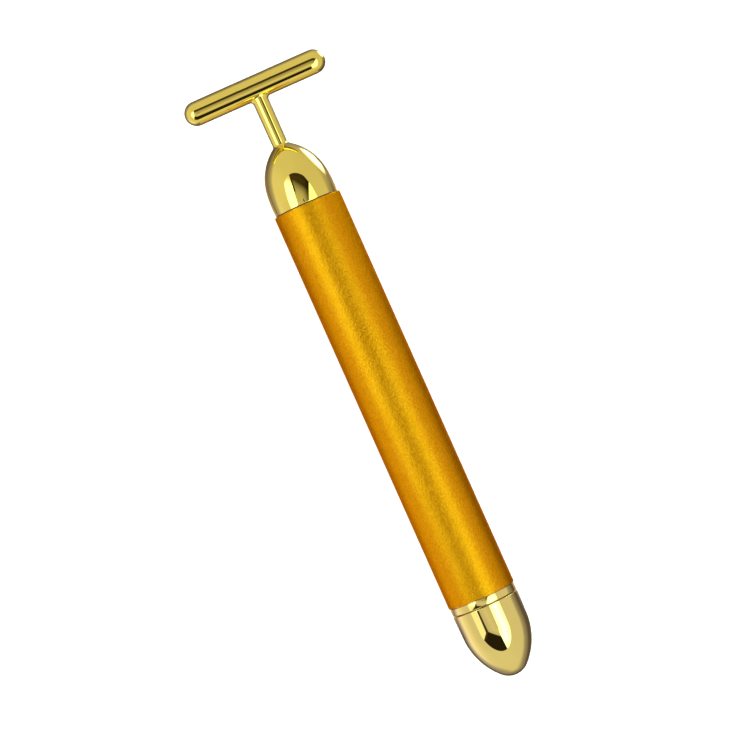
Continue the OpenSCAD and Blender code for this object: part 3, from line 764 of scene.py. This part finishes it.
def thread(name, root_r, crest_r, start, body, slot):
    """A right-hand ridge round the axis that rises from root_r to crest_r.

    It runs out over a tenth of its length at both ends, and its foot is sunk a little."""
    steps = int(thread_turns * thread_rings)
    foot_half = 0.5 * thread_pitch / 2
    crest_half = 0.2 * thread_pitch / 2
    foot_sink = 0.05
    foot_r = root_r - foot_sink * math.copysign(1, crest_r - root_r)
    work = bmesh.new()
    rows = []
    for i in range(steps + 1):
        angle = 2 * math.pi * thread_turns * i / steps
        x = start + thread_pitch * thread_turns * i / steps
        height = min(1.0, 10 * min(i, steps - i) / steps)
        top_r = root_r + (crest_r - root_r) * height
        section = [(-foot_half, foot_r), (-crest_half, top_r), (crest_half, top_r), (foot_half, foot_r)]
        rows.append(vertices(work, [point_at(x + dx, r * math.cos(angle), r * math.sin(angle))
                                    for dx, r in section]))
    join_and_close(work, rows)
    piece(name, work, body, slot)


def cap_thread():
    thread("cap_thread", insert_r, insert_r + cap_thread_depth,
           thread_start, "tail_cap_screw", "dark_nylon")


def collar_thread():
    thread("collar_thread", collar_bore, collar_bore - collar_thread_depth,
           thread_start + thread_pitch / 2, "handle", "plated_gold")


# Battery spring

def wire_section(x, r, angle):
    """Points round the spring's wire where its middle is at x and r, at that angle round the axis."""
    points = []
    for i in range(wire_sides):
        way = 2 * math.pi * i / wire_sides
        out = r + spring_wire_r * math.cos(way)
        points.append(point_at(
            x + spring_wire_r * math.sin(way),
            out * math.cos(angle),
            out * math.sin(angle),
        ))
    return points


def battery_spring():
    """A conical coil whose first and last turn lie nearly closed.

    It stretches between the cap and the battery."""
    seat_r = (spring_high.y - spring_low.y) / 2 / MM - spring_wire_r
    tip_r = spring_tip_r - spring_wire_r
    start = spring_low.x / MM + spring_wire_r
    end = spring_high.x / MM - spring_wire_r
    closed_rise = 2.5 * spring_wire_r
    open_rise = (end - start - 2 * closed_rise) / (spring_turns - 2)
    work = bmesh.new()
    rows = []
    for i in range(spring_turns * wire_rings + 1):
        turn = i / wire_rings
        opened = min(max(turn - 1, 0), spring_turns - 2)
        x = start + opened * open_rise + (turn - opened) * closed_rise
        r = seat_r + (tip_r - seat_r) * turn / spring_turns
        rows.append(vertices(work, wire_section(x, r, 2 * math.pi * turn)))
    join_and_close(work, rows)
    spring = piece("spring", work, None, "spring_steel", ["battery_spring"])
    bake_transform(spring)


# Camera: straight above the object, as in the photograph

image_px = 729
pixel = 0.23977 * MM                 # size of a pixel at the height of the handle's axis
handle_lean = math.radians(24.054)   # how far the handle leans from upright in the picture
picture_turn = (0, 0, -math.pi / 2 - handle_lean)


def camera_above():
    centre_x, centre_y = 4.15 * MM, 3.05 * MM
    data = bpy.data.cameras.new("camera")
    data.sensor_width = 36
    data.lens = 163
    distance = pixel * image_px * data.lens / data.sensor_width
    camera = in_scene("camera", data)
    camera.location = (centre_x, centre_y, axis_z + distance)
    camera.rotation_euler = picture_turn
    bpy.context.scene.camera = camera


# Floor

def flat_sheet(name, back, front, half, height):
    """A level rectangle from back to front, half to each side of the axis."""
    corners = [(back, -half), (front, -half), (front, half), (back, half)]
    mesh = bpy.data.meshes.new(name)
    mesh.from_pydata([(x, y, height) for x, y in corners], [], [(0, 1, 2, 3)])
    return in_scene(name, mesh)


def pale_floor():
    half = 4.0
    floor = flat_sheet("floor", -half, half, half, 0)
    made, graph = new_material("floor_paper")
    fibre = graph.noise(place_in(graph), 1.2, 3.0)
    inputs = {
        "Base Color": graph.mix(fibre, grey(0.84), grey(0.88)),
        "Roughness": 0.9,
        "Emission Color": WHITE,
        "Emission Strength": 0.7,
    }
    graph.show("ShaderNodeBsdfPrincipled", inputs)
    floor.data.materials.append(made)
    floor.visible_glossy = False


# Light tent. Its parts are placed by angles in degrees, and its levels are brightnesses.

class TentPlace:
    """Where a place on the tent lies, measured from the floor's middle and as the picture lies.

    polar is its angle from straight up, across and upwards are that angle's two parts in the
    picture, and turn is its direction there, from the right side towards the top."""

    def __init__(self, graph, place):
        split = graph.node("ShaderNodeSeparateXYZ", {0: place}).outputs
        right, up, height = split[0], split[1], split[2]
        reach = graph.math("MAXIMUM", graph.length(right, up), 1e-5)
        self.graph = graph
        self.polar = graph.math("DEGREES", graph.math("ARCTAN2", reach, height))
        scale = graph.math("DIVIDE", self.polar, reach)
        self.across = graph.times(right, scale)
        self.upwards = graph.times(up, scale)
        self.downwards = graph.times(self.upwards, -1.0)
        self.turn = graph.math("DEGREES", graph.math("ARCTAN2", self.upwards, self.across))

    def side(self, centre, half):
        """1 on the side of the tent at that turn, falling to 0 at half degrees from it."""
        off = self.graph.math("WRAP", self.graph.minus(self.turn, centre), -180.0, 180.0)
        return self.graph.step(self.graph.math("ABSOLUTE", off), half, 0.0)


def tent_wall(graph, at):
    """Level of the wall, which turns dark at the foot.

    It does so lower down at the lower left, where it also glows and has a pale line, and lowest
    at the upper right."""
    lower_left = at.side(-130, 52)
    left = at.side(180, 50)
    lift = graph.plus(graph.times(lower_left, 25.0), graph.times(left, 6.0))
    foot = [(0, 0.72), (89, 0.72), (99, 0.385), (105, 0.31), (114, 0.23), (124, 0.12), (180, 0.12)]
    top_foot = [(0, 0.70), (95, 0.66), (120, 0.60), (135, 0.40), (180, 0.20)]
    wall = graph.mix(
        at.side(66, 51),
        graph.levels(graph.minus(at.polar, lift), foot),
        graph.levels(at.polar, top_foot),
    )
    glow = graph.times(graph.step(at.polar, 70, 105, 0.0, 0.27), graph.step(at.polar, 140, 115))
    from_line = graph.math("ABSOLUTE", graph.minus(at.polar, 105.0))
    pale_line = graph.step(from_line, 5.0, 1.0, 0.0, 0.12)
    bottom = graph.times(at.side(-80, 70), graph.step(at.polar, 100, 80, 0.0, 0.06))
    return graph.plus(
        wall,
        graph.times(lower_left, graph.plus(glow, pale_line)),
        graph.times(left, 0.1),
        bottom,
    )


def tent_opening(graph, at):
    """1 in the opening above, an oval that is turned a little in the picture."""
    centre_across, centre_upwards = -2.5, -10.0
    half_sizes = (50.4, 47.3)
    oval_lean = math.radians(25)
    x = graph.minus(at.across, centre_across)
    y = graph.minus(at.upwards, centre_upwards)
    turned_x = graph.plus(graph.times(x, math.cos(oval_lean)), graph.times(y, math.sin(oval_lean)))
    turned_y = graph.plus(graph.times(y, math.cos(oval_lean)), graph.times(x, -math.sin(oval_lean)))
    return graph.step(graph.oval(turned_x, turned_y, (0.0, 0.0), half_sizes), 1.012, 0.988)


def softbox_level(graph, at):
    """Level of the softboxes left and right in the opening."""
    left_box = [(-45, 1.2), (-30, 1.16), (-18, 2.9), (9, 2.9), (15, 1.3), (28, 0.7)]
    right_box_across = [(12, 1.64), (27, 3.5), (48, 1.8)]
    right_box_upwards = [(-50, 0.3), (-30, 1.0), (0, 1.0), (11, 0.58)]
    on_right = graph.math("GREATER_THAN", at.across, 0.0)
    right_level = graph.times(
        graph.levels(at.across, right_box_across),
        graph.levels(at.upwards, right_box_upwards),
    )
    return graph.mix(on_right, graph.levels(at.upwards, left_box), right_level)


def strip_edges(graph, at):
    """How far a place lies inside the left and the right edge of the strip between the softboxes."""
    from_left = graph.plus(
        at.across,
        25.6,
        graph.beyond(at.upwards, 8, 0.17),
        graph.beyond(at.downwards, 29.4, 0.37),
    )
    right_edge = graph.plus(
        11.1,
        graph.beyond(at.upwards, -11, 0.056),
        graph.beyond(at.upwards, -1.7, 0.157),
        graph.beyond(at.upwards, 5.5, 0.24),
        graph.beyond(at.downwards, 15.3, 0.52),
    )
    return from_left, graph.minus(right_edge, at.across)


def strip_level(graph, at, from_left, from_right):
    """Level of the strip, with a shadow along its right, a dark line along its left and a dark lens."""
    up_the_strip = [
        (-60, 0.02), (-26, 0.02), (-24.6, 0.594), (-15, 0.75), (-5, 0.608), (3, 0.54), (8, 0.44),
        (12, 0.30), (16, 0.185), (18, 0.11), (20, 0.052), (27, 0.057), (31, 0.045), (45, 0.045),
    ]
    shadow = graph.levels(from_right, [(0, 0.3), (3, 0.3), (8.5, 0.7), (16, 1.0)])
    shadow = graph.mix(graph.step(at.upwards, -8, 2), WHITE, shadow)
    level = graph.times(graph.levels(at.upwards, up_the_strip), shadow)
    line_part = graph.math("MAXIMUM", graph.step(at.upwards, 0, 5), graph.step(at.upwards, -17, -20.5))
    dark_line = graph.times(graph.step(from_left, 6.0, 4.6), line_part)
    level = graph.mix(dark_line, level, grey(0.05))
    lens_centre = (-3.7, -2.3)
    lens = graph.step(graph.oval(at.across, at.upwards, lens_centre, (1, 1)), 2.1, 1.5)
    return graph.mix(lens, level, grey(0.01))


def tent_above(graph, at):
    """Level inside the opening: the strip runs up its middle, between the two softboxes."""
    from_left, from_right = strip_edges(graph, at)
    on_strip = graph.step(graph.math("MINIMUM", from_left, from_right), -0.7, 0.7)
    return graph.mix(on_strip, softbox_level(graph, at), strip_level(graph, at, from_left, from_right))


def with_panel(graph, at, level):
    """The level with a white panel low at the upper right, which fades downwards."""
    centre, half_sizes = (62, 119.5), (21.4, 25.0)      # both as turn and polar
    on_panel = graph.step(graph.oval(at.turn, at.polar, centre, half_sizes), 1.0, 0.575)
    panel_level = graph.levels(at.polar, [(90, 4.5), (119, 4.5), (131, 1.9), (150, 1.3)])
    return graph.mix(on_panel, level, panel_level)


def tinted(graph, at, level):
    """The level as a colour.

    Dark parts are brown, the foot is bluer and turns warm at its end, and the softboxes are greener."""
    brown = (1, 0.78, 0.45, 1)
    foot_blue = (1, 0.935, 1.34, 1)
    foot_warm = (1, 0.94, 0.85, 1)
    bright_green = (-0.45, 0.25, 0.3)      # added for each unit of brightness above 1.1
    by_level = graph.mix(graph.step(level, 0.04, 0.25), brown, WHITE)
    by_height = graph.mix(graph.step(at.polar, 85, 125), WHITE, foot_blue)
    by_height = graph.mix(graph.step(at.polar, 128, 146), by_height, foot_warm)
    colour = graph.vector("MULTIPLY", graph.vector("MULTIPLY", level, by_level), by_height)
    glare = graph.beyond(level, 1.1, 1.0)
    return graph.vector("ADD", colour, graph.vector("MULTIPLY", glare, bright_green))


def tent_pattern(graph, place):
    """Colour of the tent at a place measured from the floor's middle, as the picture lies."""
    at = TentPlace(graph, place)
    level = graph.mix(tent_opening(graph, at), tent_wall(graph, at), tent_above(graph, at))
    return tinted(graph, at, with_panel(graph, at, level))


def light_tent():
    """A tall pale tent round the object, which lights it and shows in its plating."""
    half_sizes = (0.50, 0.244, 1.0)
    work = bmesh.new()
    bmesh.ops.create_icosphere(work, subdivisions=5, radius=1)
    mesh = bpy.data.meshes.new("light_tent")
    work.to_mesh(mesh)
    work.free()
    tent = in_scene("light_tent", mesh)
    tent.scale = half_sizes
    tent.rotation_euler = picture_turn
    made, graph = new_material("tent_cloth")
    point = graph.node("ShaderNodeTexCoord").outputs["Object"]
    place = graph.vector("MULTIPLY", point, half_sizes)
    graph.show("ShaderNodeEmission", {"Color": tent_pattern(graph, place), "Strength": 1.0})
    made.cycles.emission_sampling = "NONE"
    tent.data.materials.append(made)
    tent.visible_camera = False


# Other light

def warm_card():
    """A card below the object that only shiny surfaces see.

    It is the warm light on the undersides of the T-bar and the handle."""
    back, front, half, height = -68 * MM, 60 * MM, 20 * MM, -5 * MM
    warm = (0.70, 0.56, 0.36, 1)
    front_brown = (0.32, 0.22, 0.12, 1)
    back_dusk = (0.12, 0.11, 0.16, 1)
    card = flat_sheet("warm_card", back, front, half, height)
    made, graph = new_material("warm_card")
    along_axis = graph.dot(place_in(graph), (1, 0, 0))
    colour = graph.mix(graph.step(along_axis, 40 * MM, 56 * MM), warm, front_brown)
    colour = graph.mix(graph.step(along_axis, -54 * MM, back), colour, back_dusk)
    graph.show("ShaderNodeEmission", {"Color": colour, "Strength": 1.0})
    made.cycles.emission_sampling = "NONE"
    card.data.materials.append(made)
    card.visible_camera = False
    card.visible_diffuse = False
    card.visible_shadow = False


def pale_surroundings():
    world = bpy.data.worlds.new("surroundings")
    bpy.context.scene.world = world
    world.use_nodes = True
    graph = Graph(world.node_tree)
    graph.show("ShaderNodeBackground", {"Color": WHITE, "Strength": 0.95}, "ShaderNodeOutputWorld")


# The whole scene

dress_solids()
handle_tube()
massage_head()
tail_cap()
cap_neck()
tail_collar()
cap_thread()
collar_thread()
battery_spring()
camera_above()
pale_floor()
light_tent()
warm_card()
pale_surroundings()
bpy.context.scene.view_settings.view_transform = "Standard"
